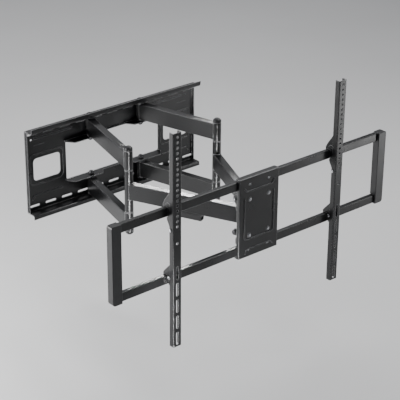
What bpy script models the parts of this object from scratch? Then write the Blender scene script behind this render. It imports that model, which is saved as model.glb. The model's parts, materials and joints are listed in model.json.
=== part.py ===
"""Full motion TV wall mount with six arms.

Four first arms swing on the wall plate, two second arms swing on the elbows, and a swivel and tilt
head carries two rails with the brackets that take the screen. Metres, +Z up, the wall is the plane
Y = 0 and the screen side is -Y. The origin is on the back of the wall plate, on its centre line.
"""

import math

import bmesh
import bpy
from mathutils import Matrix, Vector

# The middle height of the wall plate and of the arms, seen from the origin.
CENTRE_Z = -0.100

SHEET = 0.0025
GAP = 0.0003
ROUND = 24
SMALL_ROUND = 14

# Wall plate. Heights count from the mount's middle height from here on.
WALL_HALF_WIDTH = 0.330
WALL_HALF_HEIGHT = 0.1345
TOP_LIP_Y = -0.0395
TOP_LIP_Z = 0.149
BOTTOM_FLANGE_Y = -0.0358
BOTTOM_LIP_Z = -0.147
SIDE_FLANGE_DEPTH = 0.011
WINDOW_HALF = (0.182, 0.0632)
SIDE_WINDOW = (0.204, 0.303, 0.0365)
SHELF_Z = (0.0638, 0.0663)
SHELF_DEPTH = 0.034
SLOT_PITCH = 0.061
SLOTS_A_SIDE = 5
SLOT_LENGTH = 0.039
SLOT_HEIGHT = 0.007
SLOT_Z = 0.118

# Arm pivots and lengths.
SHOULDER = (0.0984, -0.017)
FIRST_ARM = 0.2939
FIRST_SPLAY = math.radians(14.36)
SECOND_ARM = 0.3738
SECOND_LEAN = math.radians(23.88)
HEAD_PIVOT_X = 0.020
HEAD_PIVOT_Y = SHOULDER[1] - FIRST_ARM * math.cos(FIRST_SPLAY) - SECOND_ARM * math.cos(SECOND_LEAN)

# Arm sections.
BARREL_RADIUS = 0.0128
TUBE_THICKNESS = 0.0245
TUBE_WALL = 0.0025
FIRST_TUBE_Z = (0.073, 0.125)
FIRST_BARREL_Z = (0.0687, 0.1285)
SECOND_TUBE_HALF = 0.025
SLEEVE_HALF = 0.066
HEAD_BARREL_HALF = 0.0288
PIVOT_BOLT_RADIUS = 0.006
BUSH_RADIUS = 0.0085
ELBOW_PIN_RADIUS = 0.0077
ELBOW_BORE = 0.008
HEAD_PIN_RADIUS = 0.005
OPEN_PIVOT_BORE = 0.008

# Head, from the arms outwards.
YOKE_Z = (0.0292, 0.0332)
YOKE_RADIUS = 0.014
SWIVEL_PIN_RADIUS = 0.0050
SWIVEL_WEB_Y = (-0.6688, -0.6663)
SWIVEL_EAR_X = (0.0600, 0.0625)
SWIVEL_LUG_Z = (0.0410, 0.0440)
TILT_AXIS = (-0.657, -0.0335)
ARM_CLEARANCE_Z = 0.0265
STOP_AXIS = (-0.652, 0.066)
CRADLE_WEB_Y = (-0.6757, -0.6732)
CRADLE_EAR_X = (0.0635, 0.0660)

# Screen plate, rails and end caps. FRAME_Z is the middle height of the frame.
FRAME_Z = 0.010
PLATE_HALF = (0.075, 0.1225)
PLATE_Y = (-0.6785, -0.6760)
PLATE_SIDE_DEPTH = 0.0105
PLATE_TOP_DEPTH = 0.020
SCREW_OFFSET = (0.036, 0.056)
RAIL_OFFSET = 0.102
RAIL_HEIGHT = 0.0262
RAIL_Y = (-0.6703, -0.6553)
RAIL_WALL = 0.0018
RAIL_HALF = 0.5110
CAP_X = (0.488, 0.5197)
CAP_Y = (-0.6775, -0.6548)
CAP_HALF = 0.1169
CAP_WALL = 0.0015
CAP_CORNERS = (0.0015, 0.009, 0.0065, 0.0015)

# Screen brackets.
BRACKET_X = (-0.3135, 0.3015)
BRACKET_HALF_WIDTH = 0.0145
BRACKET_Z = (-0.2962, 0.3438)
BRACKET_Y = (-0.6952, -0.6785)
BRACKET_SHEET = 0.0023
BRACKET_HOLE_RADIUS = 0.0042
BRACKET_HOLES = 18
BRACKET_HOLE_TOP = 0.3315
BRACKET_HOLE_PITCH = 0.01518
LONE_HOLE_Z = 0.0227
BRACKET_SLOTS = 5
BRACKET_SLOT_TOP = -0.0668
BRACKET_SLOT_PITCH = 0.051
BRACKET_SLOT_LENGTH = 0.041
BRACKET_SCREWS = {"safety_screw": (-0.677, -0.084), "lock_screw": (-0.684, 0.062)}


def clear_scene():
    for obj in list(bpy.data.objects):
        bpy.data.objects.remove(obj, do_unlink=True)


def make_material(name, colour, metallic, roughness):
    material = bpy.data.materials.new(name)
    material.use_nodes = True
    shader = material.node_tree.nodes["Principled BSDF"]
    shader.inputs["Base Color"].default_value = (*colour, 1.0)
    shader.inputs["Metallic"].default_value = metallic
    shader.inputs["Roughness"].default_value = roughness
    material.diffuse_color = (*colour, 1.0)
    return material


# Outlines: lists of points in a plane.


def arc(centre, radius, start, end, steps):
    """Points on an arc, both ends included, angles in degrees."""
    points = []
    for i in range(steps + 1):
        angle = math.radians(start + (end - start) * i / steps)
        points.append((centre[0] + radius * math.cos(angle), centre[1] + radius * math.sin(angle)))
    return points


def rounded(points, radii, steps=3, closed=True):
    """The outline with each corner rounded. radii is one number, or one for each corner."""
    count = len(points)
    if not isinstance(radii, (list, tuple)):
        radii = [radii] * count
    result = []
    for i, point in enumerate(points):
        corner = Vector(point)
        if radii[i] == 0 or (not closed and i in (0, count - 1)):
            result.append(tuple(corner))
            continue
        back = (Vector(points[i - 1]) - corner).normalized()
        ahead = (Vector(points[(i + 1) % count]) - corner).normalized()
        half_angle = back.angle(ahead) / 2
        reach = radii[i] / math.tan(half_angle)
        centre = corner + (back + ahead).normalized() * (radii[i] / math.sin(half_angle))
        first = corner + back * reach - centre
        turn = first.angle_signed(corner + ahead * reach - centre)
        for step in range(steps + 1):
            spoke = first.copy()
            spoke.rotate(Matrix.Rotation(-turn * step / steps, 2))
            result.append(tuple(centre + spoke))
    return result


def rectangle(centre, half, radius=0.0, steps=3):
    x, y = centre
    corners = [(x - half[0], y - half[1]), (x + half[0], y - half[1])]
    corners += [(x + half[0], y + half[1]), (x - half[0], y + half[1])]
    return rounded(corners, radius, steps) if radius else corners


def slot(centre, length, height, steps=6):
    """A slot with round ends, long way first."""
    reach = (length - height) / 2
    right = arc((centre[0] + reach, centre[1]), height / 2, -90, 90, steps)
    left = arc((centre[0] - reach, centre[1]), height / 2, 90, 270, steps)
    return right + left


def sheet_outline(path, thickness):
    """The outline of a bent sheet: its middle line offset to both sides."""
    sides = ([], [])
    for i, point in enumerate(path):
        here = Vector(point)
        before = (here - Vector(path[i - 1])).normalized() if i else None
        after = (Vector(path[i + 1]) - here).normalized() if i < len(path) - 1 else None
        along = ((before or after) + (after or before)).normalized()
        normal = Vector((-along.y, along.x))
        stretch = 1 / max(0.5, along.dot(after or before))
        for side, sign in zip(sides, (1, -1)):
            side.append(tuple(here + normal * sign * stretch * thickness / 2))
    return sides[0] + sides[1][::-1]


# Solids: closed meshes. An outline lies in the two axes that are left, in the order x, y, z.


def finish_mesh(bm, name="solid"):
    bmesh.ops.recalc_face_normals(bm, faces=bm.faces[:])
    mesh = bpy.data.meshes.new(name)
    bm.to_mesh(mesh)
    bm.free()
    return mesh


def prism(outline, axis, start, end):
    """The outline pulled along an axis, from start to end."""
    place = {
        "x": lambda p, q, along: (along, p, q),
        "y": lambda p, q, along: (p, along, q),
        "z": lambda p, q, along: (p, q, along),
    }[axis]
    bm = bmesh.new()
    ends = [[bm.verts.new(place(p, q, along)) for p, q in outline] for along in (start, end)]
    bm.faces.new(ends[0])
    bm.faces.new(ends[1])
    for i in range(len(outline)):
        after = (i + 1) % len(outline)
        bm.faces.new((ends[0][i], ends[0][after], ends[1][after], ends[1][i]))
    return finish_mesh(bm)


def box(low, high):
    centre = ((low[0] + high[0]) / 2, (low[1] + high[1]) / 2)
    half = ((high[0] - low[0]) / 2, (high[1] - low[1]) / 2)
    return prism(rectangle(centre, half), "z", low[2], high[2])


def cylinder(centre, radius, axis, start, end, segments=ROUND):
    """centre is in the two axes that are left."""
    return prism(arc(centre, radius, 0, 360, segments)[:-1], axis, start, end)


def turned(profile, axis="z", centre=(0.0, 0.0), segments=ROUND):
    """A profile of (radius, height) points turned about an axis.

    A profile that starts and ends at radius 0 makes a solid, any other one is a closed loop and
    makes a ring.
    """
    place = {
        "x": lambda p, q, along: (along, p + centre[0], q + centre[1]),
        "y": lambda p, q, along: (p + centre[0], along, q + centre[1]),
        "z": lambda p, q, along: (p + centre[0], q + centre[1], along),
    }[axis]
    bm = bmesh.new()
    rows = []
    for radius, along in profile:
        if radius == 0:
            rows.append([bm.verts.new(place(0.0, 0.0, along))] * segments)
            continue
        ring = []
        for i in range(segments):
            angle = 2 * math.pi * i / segments
            ring.append(bm.verts.new(place(radius * math.cos(angle), radius * math.sin(angle), along)))
        rows.append(ring)
    pairs = list(zip(rows, rows[1:]))
    if profile[0][0] != 0:
        pairs.append((rows[-1], rows[0]))
    for lower, upper in pairs:
        for i in range(segments):
            after = (i + 1) % segments
            corners = (lower[i], lower[after], upper[after], upper[i])
            bm.faces.new(list(dict.fromkeys(corners)))
    return finish_mesh(bm)


def joined(meshes):
    """Several closed meshes in one, for cutters that don't meet each other."""
    bm = bmesh.new()
    for mesh in meshes:
        bm.from_mesh(mesh)
    return finish_mesh(bm)


def boolean(mesh, others, operation):
    target = bpy.data.objects.new("target", mesh)
    helpers = []
    bpy.context.scene.collection.objects.link(target)
    for other in others:
        helper = bpy.data.objects.new("helper", other)
        helper.hide_render = True
        helper.display_type = "WIRE"
        bpy.context.scene.collection.objects.link(helper)
        modifier = target.modifiers.new(operation, "BOOLEAN")
        modifier.operation = operation
        modifier.object = helper
        helpers.append(helper)
    bpy.context.view_layer.update()
    graph = bpy.context.evaluated_depsgraph_get()
    result = bpy.data.meshes.new_from_object(target.evaluated_get(graph))
    for obj in [target, *helpers]:
        bpy.data.objects.remove(obj, do_unlink=True)
    return result


def union(mesh, *others):
    return boolean(mesh, others, "UNION")


def cut(mesh, *others):
    return boolean(mesh, others, "DIFFERENCE")


# Bodies: an empty on each joint's axis. Parts hang under them.


def make_body(name, parent=None, location=(0.0, 0.0, 0.0), angle=0.0):
    empty = bpy.data.objects.new(name, None)
    empty.empty_display_size = 0.03
    empty.parent = parent
    empty.location = location
    empty.rotation_euler = (0.0, 0.0, angle)
    bpy.context.scene.collection.objects.link(empty)
    bpy.context.view_layer.update()
    return empty


def add_part(name, mesh, body, material, in_mount=False):
    """One named sub-part. in_mount says that its points are the mount's, not its body's."""
    if in_mount:
        mesh.transform(body.matrix_world.inverted() @ Matrix.Translation((0.0, 0.0, CENTRE_Z)))
    mesh.name = name
    mesh.materials.clear()
    mesh.materials.append(material)
    mesh.shade_smooth()
    mesh.set_sharp_from_angle(angle=math.radians(32))
    part = bpy.data.objects.new(name, mesh)
    part.parent = body
    bpy.context.scene.collection.objects.link(part)
    return part


# Wall plate and its bolts.


def wall_plate(body, paint):
    path = rounded(
        [
            (TOP_LIP_Y, TOP_LIP_Z),
            (TOP_LIP_Y + 0.002, 0.1310),
            (-SHEET / 2, WALL_HALF_HEIGHT),
            (-SHEET / 2, -WALL_HALF_HEIGHT),
            (BOTTOM_FLANGE_Y, -WALL_HALF_HEIGHT),
            (BOTTOM_FLANGE_Y, BOTTOM_LIP_Z),
        ],
        [0, 0.008, 0.003, 0.003, 0.004, 0],
        closed=False,
    )
    web = prism(sheet_outline(path, SHEET), "x", -WALL_HALF_WIDTH, WALL_HALF_WIDTH)
    joins = []
    for side in (-1, 1):
        outer = side * (WALL_HALF_WIDTH - 0.002)
        inner = outer - side * SHEET
        low = (min(outer, inner), -SIDE_FLANGE_DEPTH, -0.1335)
        joins.append(box(low, (max(outer, inner), -0.001, 0.1315)))
    half_shelf = [(0.186, -0.001), (0.186, -0.009), (0.168, -SHELF_DEPTH), (0.064, -SHELF_DEPTH)]
    half_shelf.append((0.047, -0.009))
    outline = half_shelf + [(-x, y) for x, y in reversed(half_shelf)]
    radii = [0, 0.003, 0.006, 0.006, 0.006, 0.006, 0.006, 0.006, 0.003, 0]
    for side in (-1, 1):
        low, high = sorted(side * z for z in SHELF_Z)
        joins.append(prism(rounded(outline, radii), "z", low, high))
    plate = union(web, *joins)

    through = (-0.008, 0.004)
    cutters = [prism(rectangle((0, 0), WINDOW_HALF, 0.005), "y", *through)]
    window_middle = (SIDE_WINDOW[0] + SIDE_WINDOW[1]) / 2
    window_half = ((SIDE_WINDOW[1] - SIDE_WINDOW[0]) / 2, SIDE_WINDOW[2])
    for side in (-1, 1):
        centre = (side * window_middle, 0.0)
        cutters.append(prism(rectangle(centre, window_half, 0.012, 4), "y", *through))
        for i in range(-SLOTS_A_SIDE, SLOTS_A_SIDE + 1):
            centre = (i * SLOT_PITCH, side * SLOT_Z)
            cutters.append(prism(slot(centre, SLOT_LENGTH, SLOT_HEIGHT, 4), "y", *through))
    cutters.append(cylinder((-0.308, 0.100), 0.0035, "y", *through, 10))
    bolt_holes = []
    for side in (-1, 1):
        centre = (side * SHOULDER[0], SHOULDER[1])
        bolt_holes.append(cylinder(centre, PIVOT_BOLT_RADIUS + GAP, "z", 0.060, 0.140))
        bolt_holes.append(cylinder(centre, PIVOT_BOLT_RADIUS + GAP, "z", -0.140, -0.060))
    plate = cut(plate, joined(cutters), joined(bolt_holes))
    add_part("wall_plate", plate, body, paint, in_mount=True)


def pivot_fasteners(body, steel):
    """A bolt through each shoulder: its head outside the flange, its dome nut on the shelf."""
    nut_face = SHELF_Z[0] - GAP
    for level, row in ((1, "upper"), (-1, "lower")):
        for side, hand in ((-1, "left"), (1, "right")):
            centre = (side * SHOULDER[0], SHOULDER[1])
            shank_end = nut_face - 0.0078
            under_head = WALL_HALF_HEIGHT + SHEET / 2 + GAP
            profile = [(0, shank_end), (PIVOT_BOLT_RADIUS, shank_end), (PIVOT_BOLT_RADIUS, under_head)]
            profile += [(0.0095, under_head), (0.0095, 0.1388), (0.0070, 0.1403), (0, 0.1408)]
            profile = [(radius, level * z) for radius, z in profile]
            bolt = turned(profile, centre=centre, segments=SMALL_ROUND)
            add_part(f"pivot_bolt_{row}_{hand}", bolt, body, steel, in_mount=True)

            dome = [(0, nut_face), (0.0098, nut_face), (0.0098, nut_face - 0.0065)]
            dome += [(0.0085, nut_face - 0.0072), (0.0066, nut_face - 0.0102)]
            dome += [(0.0036, nut_face - 0.0122), (0, nut_face - 0.0128)]
            nut = turned([(radius, level * z) for radius, z in dome], centre=centre, segments=12)
            ends = sorted((level * (nut_face + 0.001), level * (nut_face - 0.0082)))
            nut = cut(nut, cylinder(centre, PIVOT_BOLT_RADIUS + GAP, "z", *ends, SMALL_ROUND))
            add_part(f"pivot_nut_{row}_{hand}", nut, body, steel, in_mount=True)


# Arms. They lie along -Y of their own body, from the pivot at its origin.


def arm_tube(length, low, high, vent_z):
    """A rectangular tube between two pivots, hollow, with a vent hole in the face at vent_z."""
    middle = (low + high) / 2
    half = (TUBE_THICKNESS / 2, (high - low) / 2)
    start = -0.006
    outer = prism(rectangle((0, middle), half, 0.0025), "y", start, -length - start)
    inner_half = (half[0] - TUBE_WALL, half[1] - TUBE_WALL)
    inner = prism(rectangle((0, middle), inner_half), "y", -0.0145, -length + 0.0145)
    vent = cylinder((0, -0.045), 0.004, "z", vent_z - 0.003, vent_z + 0.003, 10)
    return outer, inner, vent


def first_arm(body, hand, level, row, paint):
    low, high = sorted(level * z for z in FIRST_TUBE_Z)
    ends = sorted(level * z for z in FIRST_BARREL_Z)
    outer, inner, vent = arm_tube(FIRST_ARM, low, high, level * FIRST_TUBE_Z[0])
    barrels = [cylinder((0, -y), BARREL_RADIUS, "z", *ends) for y in (0.0, FIRST_ARM)]
    bores = []
    for y, radius in ((0.0, BUSH_RADIUS + GAP), (-FIRST_ARM, ELBOW_BORE)):
        bores.append(cylinder((0, y), radius, "z", ends[0] - 0.001, ends[1] + 0.001, 16))
    arm = cut(union(outer, *barrels), inner, vent, *bores)
    add_part(f"first_arm_{row}_{hand}", arm, body, paint)


def pivot_bush(body, hand, level, row, nylon):
    """A flanged bush in the shoulder barrel, its flange against the shelf."""
    base = SHELF_Z[1] + GAP
    bore = PIVOT_BOLT_RADIUS + 0.0004
    profile = [(bore, base), (0.0118, base), (0.0118, FIRST_BARREL_Z[0] - GAP)]
    profile += [(BUSH_RADIUS, FIRST_BARREL_Z[0] - GAP), (BUSH_RADIUS, 0.1275), (bore, 0.1275)]
    bush = turned([(radius, level * z) for radius, z in profile], segments=16)
    add_part(f"pivot_bush_{row}_{hand}", bush, body, nylon)


def elbow(body, hand, steel, plastic):
    """The pin through the three knuckles of an elbow and the domed caps that close its ends."""
    end = FIRST_BARREL_Z[1]
    centre = (0.0, -FIRST_ARM)
    pin = cylinder(centre, ELBOW_PIN_RADIUS, "z", -end, end, 16)
    add_part(f"elbow_pin_{hand}", pin, body, steel)
    for level, end_name in ((1, "top"), (-1, "bottom")):
        base = end + GAP
        profile = [(0, base), (0.0126, base), (BARREL_RADIUS, base + 0.0007)]
        profile += [(BARREL_RADIUS, base + 0.0062), (0.0118, base + 0.0093)]
        profile += [(0.0090, base + 0.0120), (0.0048, base + 0.0135), (0, base + 0.0139)]
        cap = turned([(radius, level * z) for radius, z in profile], centre=centre)
        add_part(f"elbow_cap_{end_name}_{hand}", cap, body, plastic)


def second_arm(body, hand, bore, paint):
    tube = (-SECOND_TUBE_HALF, SECOND_TUBE_HALF)
    outer, inner, vent = arm_tube(SECOND_ARM, *tube, -SECOND_TUBE_HALF)
    sleeve = cylinder((0, 0), BARREL_RADIUS, "z", -SLEEVE_HALF, SLEEVE_HALF)
    barrel = cylinder((0, -SECOND_ARM), BARREL_RADIUS, "z", -HEAD_BARREL_HALF, HEAD_BARREL_HALF)
    bores = [cylinder((0, 0), ELBOW_BORE, "z", -0.070, 0.070, 16)]
    bores.append(cylinder((0, -SECOND_ARM), bore, "z", -0.032, 0.032, 16))
    arm = cut(union(outer, sleeve, barrel), inner, vent, *bores)
    add_part(f"second_arm_{hand}", arm, body, paint)


def elbow_washers(body, hand, nylon):
    for level, end_name in ((1, "top"), (-1, "bottom")):
        low, high = SLEEVE_HALF + GAP, FIRST_BARREL_Z[0] - GAP
        profile = [(ELBOW_BORE, low), (0.0120, low), (0.0120, high), (ELBOW_BORE, high)]
        washer = turned([(radius, level * z) for radius, z in profile], segments=ROUND)
        add_part(f"elbow_washer_{end_name}_{hand}", washer, body, nylon)


def cable_clip(body, plastic):
    """A cover under the left second arm with a channel for cables right through it."""
    top = -SECOND_TUBE_HALF - GAP
    cover = prism(rounded([(-0.011, top - 0.0207), (0.011, top - 0.0207), (0.011, top), (-0.011, top)],
                          [0.003, 0.003, 0.001, 0.001]), "y", -0.239, -0.173)
    channel = prism(rectangle((0.0, top - 0.0138), (0.009, 0.0045), 0.002), "y", -0.250, -0.160)
    add_part("cable_clip", cut(cover, channel), body, plastic)


# Head: yoke, swivel bracket and tilt cradle.


def yoke(body, paint, steel):
    """Two linkage plates that hold the ends of both second arms and carry the swivel pin."""
    span = 2 * HEAD_PIVOT_X
    outline = slot((HEAD_PIVOT_X, 0.0), span + 2 * YOKE_RADIUS, 2 * YOKE_RADIUS, 10)
    for level, end_name in ((1, "top"), (-1, "bottom")):
        low, high = sorted(level * z for z in YOKE_Z)
        holes = [cylinder((x, 0), HEAD_PIN_RADIUS + GAP, "z", low - 0.001, high + 0.001, SMALL_ROUND) for x in (0, span)]
        holes.append(cylinder((span / 2, 0), SWIVEL_PIN_RADIUS + GAP, "z", low - 0.001, high + 0.001, SMALL_ROUND))
        plate = cut(prism(outline, "z", low, high), joined(holes))
        add_part(f"yoke_plate_{end_name}", plate, body, paint)
        ring = [(SWIVEL_PIN_RADIUS + GAP, 0.0336), (0.0080, 0.0336)]
        ring += [(0.0080, SWIVEL_LUG_Z[0] - GAP), (SWIVEL_PIN_RADIUS + GAP, SWIVEL_LUG_Z[0] - GAP)]
        spacer = turned([(r, level * z) for r, z in ring], centre=(span / 2, 0), segments=SMALL_ROUND)
        add_part(f"swivel_spacer_{end_name}", spacer, body, steel)
    for x, hand in ((0.0, "left"), (span, "right")):
        add_part(f"head_pin_{hand}", headed_pin((x, 0.0), HEAD_PIN_RADIUS, 0.0335, 0.0078, 0.0055), body, steel)
    under_head = SWIVEL_LUG_Z[1] + GAP
    pin = headed_pin((span / 2, 0.0), SWIVEL_PIN_RADIUS, under_head, 0.0090, 0.0050)
    add_part("swivel_pin", pin, body, steel)


def headed_pin(centre, radius, half, head_radius, head_height):
    """A pin along Z with a round head on both ends."""
    upper = [(radius, half), (head_radius, half), (head_radius, half + 0.6 * head_height)]
    upper += [(0.7 * head_radius, half + head_height), (0, half + head_height)]
    lower = [(r, -z) for r, z in reversed(upper)]
    return turned(lower + upper, centre=centre, segments=16)


def bent_bracket(outer, front, sheet, side_outline):
    """A sheet bent into a U around Z, open to the wall, with its sides cut to an outline in Y and Z."""
    rear = max(y for y, z in side_outline) + 0.002
    heights = [z for y, z in side_outline]
    inner = outer - sheet
    back = front + sheet
    section = [(-outer, rear), (-outer, front), (outer, front), (outer, rear)]
    section += [(inner, rear), (inner, back), (-inner, back), (-inner, rear)]
    section = rounded(section, [0, 0.0035, 0.0035, 0, 0, 0.001, 0.001, 0], 3)
    channel = prism(section, "z", min(heights) - 0.002, max(heights) + 0.002)
    return boolean(channel, [prism(side_outline, "x", -outer - 0.002, outer + 0.002)], "INTERSECT")


def swivel_bracket(body, paint):
    front, back = SWIVEL_WEB_Y
    ahead = front - 0.002
    low, high = -SWIVEL_LUG_Z[1] - 0.0010, 0.0850
    ear = [(ahead, low), (-0.6450, low), (-0.6450, -ARM_CLEARANCE_Z - 0.0020)]
    ear += [(-0.6600, -ARM_CLEARANCE_Z), (-0.6600, ARM_CLEARANCE_Z), (-0.6500, ARM_CLEARANCE_Z + 0.0050)]
    ear += [(-0.6500, 0.0480), (-0.6390, 0.0560), (-0.6390, high), (ahead, high)]
    ear = rounded(ear, [0, 0.008, 0.0015, 0.001, 0.001, 0.002, 0.003, 0.004, 0.010, 0])
    bracket = bent_bracket(SWIVEL_EAR_X[1], front, back - front, ear)
    joins = []
    for side in (-1, 1):
        lug = [(-0.016, front + 0.0010), (0.016, front + 0.0010), (0.013, -0.6340), (-0.013, -0.6340)]
        ends = sorted(side * z for z in SWIVEL_LUG_Z)
        joins.append(prism(rounded(lug, [0, 0, 0.009, 0.009]), "z", *ends))
    bracket = union(bracket, *joins)
    pin_hole = cylinder((0, HEAD_PIVOT_Y), SWIVEL_PIN_RADIUS + GAP, "z", -0.050, 0.050, SMALL_ROUND)
    tilt_hole = cylinder(TILT_AXIS, 0.0042, "x", -0.080, 0.080, SMALL_ROUND)
    notch = rectangle((-0.6620, STOP_AXIS[1] - 0.0003), (0.0186, 0.0046), 0.0045, 4)
    top_gap = rectangle((0.0, 0.0860), (0.0480, 0.0380), 0.008)
    top_gap = prism(top_gap, "y", front - 0.002, back + 0.002)
    notch = prism(notch, "x", -0.080, 0.080)
    bracket = cut(bracket, pin_hole, tilt_hole, notch, top_gap)
    add_part("swivel_bracket", bracket, body, paint, in_mount=True)


def tilt_cradle(body, paint):
    """The U bracket that tilts on the swivel bracket: a web and two ears with round lobes."""
    front, back = CRADLE_WEB_Y
    ahead = front - 0.002
    ear = [(ahead, -0.0740), (-0.6540, -0.0740), (-0.6540, -0.0560), (-0.6600, -0.0470)]
    ear += [(-0.6520, -0.0450), (-0.6450, -0.0390), (-0.6450, -0.0300), (-0.6580, -ARM_CLEARANCE_Z - 0.0003)]
    ear += [(-0.6620, -0.0200), (-0.6620, 0.0470), (-0.6510, 0.0540), (-0.6420, 0.0605)]
    ear += [(-0.6420, 0.0715), (-0.6510, 0.0790), (-0.6640, 0.0860), (ahead, 0.0860)]
    ear = rounded(ear, [0, 0.004] + [0.002] * 12 + [0.002, 0], 2)
    cradle = bent_bracket(CRADLE_EAR_X[1], front, back - front, ear)
    cutters = [cylinder(TILT_AXIS, 0.0042, "x", -0.080, 0.080, SMALL_ROUND)]
    cutters.append(cylinder(STOP_AXIS, 0.0038, "x", -0.080, 0.080, SMALL_ROUND))
    for place in screw_places():
        cutters.append(cylinder(place, 0.0072, "y", front - 0.002, back + 0.002, 16))
    cradle = cut(cradle, *cutters)
    add_part("tilt_cradle", cradle, body, paint, in_mount=True)


def tilt_fasteners(body, steel, dark):
    """On each side: the tilt bolt with its cap nut, and the stop bolt that runs in the notch."""
    for side, hand in ((-1, "left"), (1, "right")):
        bolt = [(0, 0.0560), (0.0060, 0.0560), (0.0066, 0.0568), (0.0066, 0.0597), (0.0039, 0.0597)]
        bolt += [(0.0039, 0.0720), (0, 0.0720)]
        bolt = turned([(r, side * x) for r, x in bolt], "x", TILT_AXIS, 16)
        add_part(f"tilt_bolt_{hand}", bolt, body, steel, in_mount=True)
        nut = [(0, 0.0765), (0.0058, 0.0765), (0.0076, 0.0750), (0.0080, 0.0690)]
        nut += [(0.0074, 0.0663), (0, 0.0663)]
        nut = turned([(r, side * x) for r, x in nut], "x", TILT_AXIS, 18)
        bore = sorted((side * 0.0650, side * 0.0723))
        nut = cut(nut, cylinder(TILT_AXIS, 0.0042, "x", *bore, SMALL_ROUND))
        add_part(f"tilt_nut_{hand}", nut, body, dark, in_mount=True)
        stop = [(0, 0.0585), (0.0030, 0.0585), (0.0035, 0.0590)]
        stop += [(0.0035, 0.0663), (0.0052, 0.0663), (0.0052, 0.0695), (0.0038, 0.0712), (0, 0.0716)]
        stop = turned([(r, side * x) for r, x in stop], "x", STOP_AXIS, SMALL_ROUND)
        add_part(f"stop_bolt_{hand}", stop, body, steel, in_mount=True)


# Screen frame: plate, rails and end caps.


def screw_places():
    return [(x * SCREW_OFFSET[0], FRAME_Z + z * SCREW_OFFSET[1]) for x in (-1, 1) for z in (-1, 1)]


def screen_plate(body, paint):
    front, back = PLATE_Y
    low, high = FRAME_Z - PLATE_HALF[1], FRAME_Z + PLATE_HALF[1]
    side_back = front + PLATE_SIDE_DEPTH
    half = PLATE_HALF[0]
    face = [(-half, side_back), (-half, front), (half, front), (half, side_back)]
    face += [(half - SHEET, side_back), (half - SHEET, back), (SHEET - half, back)]
    face += [(SHEET - half, side_back)]
    tray = prism(rounded(face, [0, 0.0024, 0.0024, 0, 0, 0, 0, 0]), "z", low, high)
    joins = []
    for inner, outer in ((low + SHEET, low), (high - SHEET, high)):
        ends = sorted((inner, outer))
        flange = [(-half, front + 0.0030), (half, front + 0.0030)]
        flange += [(half, front + PLATE_TOP_DEPTH), (-half, front + PLATE_TOP_DEPTH)]
        joins.append(prism(rounded(flange, [0, 0, 0.005, 0.005]), "z", ends[0] - 0.0001, ends[1] + 0.0001))
    tray = union(tray, *joins)
    cutters = []
    for x, z in screw_places():
        cutters.append(cylinder((x, z), 0.0033, "y", front - 0.002, back + 0.002, SMALL_ROUND))
    for level in (-1, 1):
        rail_z = FRAME_Z + level * RAIL_OFFSET
        for side in (-1, 1):
            place = (side * SCREW_OFFSET[0], rail_z)
            cutters.append(prism(slot(place, 0.011, 0.0058, 5), "y", front - 0.002, back + 0.002))
            ends = sorted((side * 0.070, side * 0.078))
            notch = ((ends[0], RAIL_Y[0] - 0.0008, rail_z - 0.0146), (ends[1], -0.650, rail_z + 0.0146))
            cutters.append(box(*notch))
    add_part("screen_plate", cut(tray, joined(cutters)), body, paint, in_mount=True)


def plate_screws(body, steel):
    front = PLATE_Y[0] - GAP
    for (x, z), name in zip(screw_places(), ("lower_left", "upper_left", "lower_right", "upper_right")):
        profile = [(0, -0.6718), (0.0030, -0.6718), (0.0030, front), (0.0054, front)]
        profile += [(0.0054, front - 0.0008), (0.0042, front - 0.0024), (0, front - 0.0030)]
        screw = turned(profile, "y", (x, z), 16)
        add_part(f"plate_screw_{name}", screw, body, steel, in_mount=True)


def rails(body, paint):
    middle = (RAIL_Y[0] + RAIL_Y[1]) / 2
    depth = RAIL_Y[1] - RAIL_Y[0]
    for level, row in ((1, "upper"), (-1, "lower")):
        centre = (middle, FRAME_Z + level * RAIL_OFFSET)
        half = (depth / 2, RAIL_HEIGHT / 2)
        inner = (half[0] - RAIL_WALL, half[1] - RAIL_WALL)
        rail = prism(rectangle(centre, half, 0.0025), "x", -RAIL_HALF, RAIL_HALF)
        rail = cut(rail, prism(rectangle(centre, inner, 0.001, 1), "x", -0.6, 0.6))
        add_part(f"rail_{row}", rail, body, paint, in_mount=True)


def end_caps(body, plastic):
    """A cover over the rail ends on each side, open at the back, notched for the rails."""
    for side, hand in ((-1, "left"), (1, "right")):
        shapes = []
        for inset in (0.0, CAP_WALL):
            low, high = FRAME_Z - CAP_HALF + inset, FRAME_Z + CAP_HALF - inset
            inner, outer = CAP_X[0] + inset, CAP_X[1] - inset
            corners = [(side * inner, low), (side * outer, low), (side * outer, high), (side * inner, high)]
            shapes.append(rounded(corners, [max(r - inset, 0.0005) for r in CAP_CORNERS], 4))
        bm = bmesh.new()
        bm.from_mesh(prism(shapes[0], "y", *CAP_Y))
        rim = [e for e in bm.edges if all(abs(v.co.y - CAP_Y[0]) < 1e-5 for v in e.verts)]
        bmesh.ops.bevel(bm, geom=rim, offset=0.0014, segments=2, profile=0.5, affect="EDGES")
        shell = finish_mesh(bm)
        hollow = prism(shapes[1], "y", RAIL_Y[0] - 0.0040, CAP_Y[1] + 0.001)
        notches = []
        for level in (-1, 1):
            rail_z = FRAME_Z + level * RAIL_OFFSET
            ends = sorted((side * (CAP_X[0] - 0.002), side * (CAP_X[0] + 0.008)))
            half_notch = RAIL_HEIGHT / 2 + GAP
            low_corner = (ends[0], RAIL_Y[0] - GAP, rail_z - half_notch)
            notches.append(box(low_corner, (ends[1], CAP_Y[1] + 0.002, rail_z + half_notch)))
        add_part(f"end_cap_{hand}", cut(shell, hollow, *notches), body, plastic, in_mount=True)


# Screen brackets.


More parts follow.
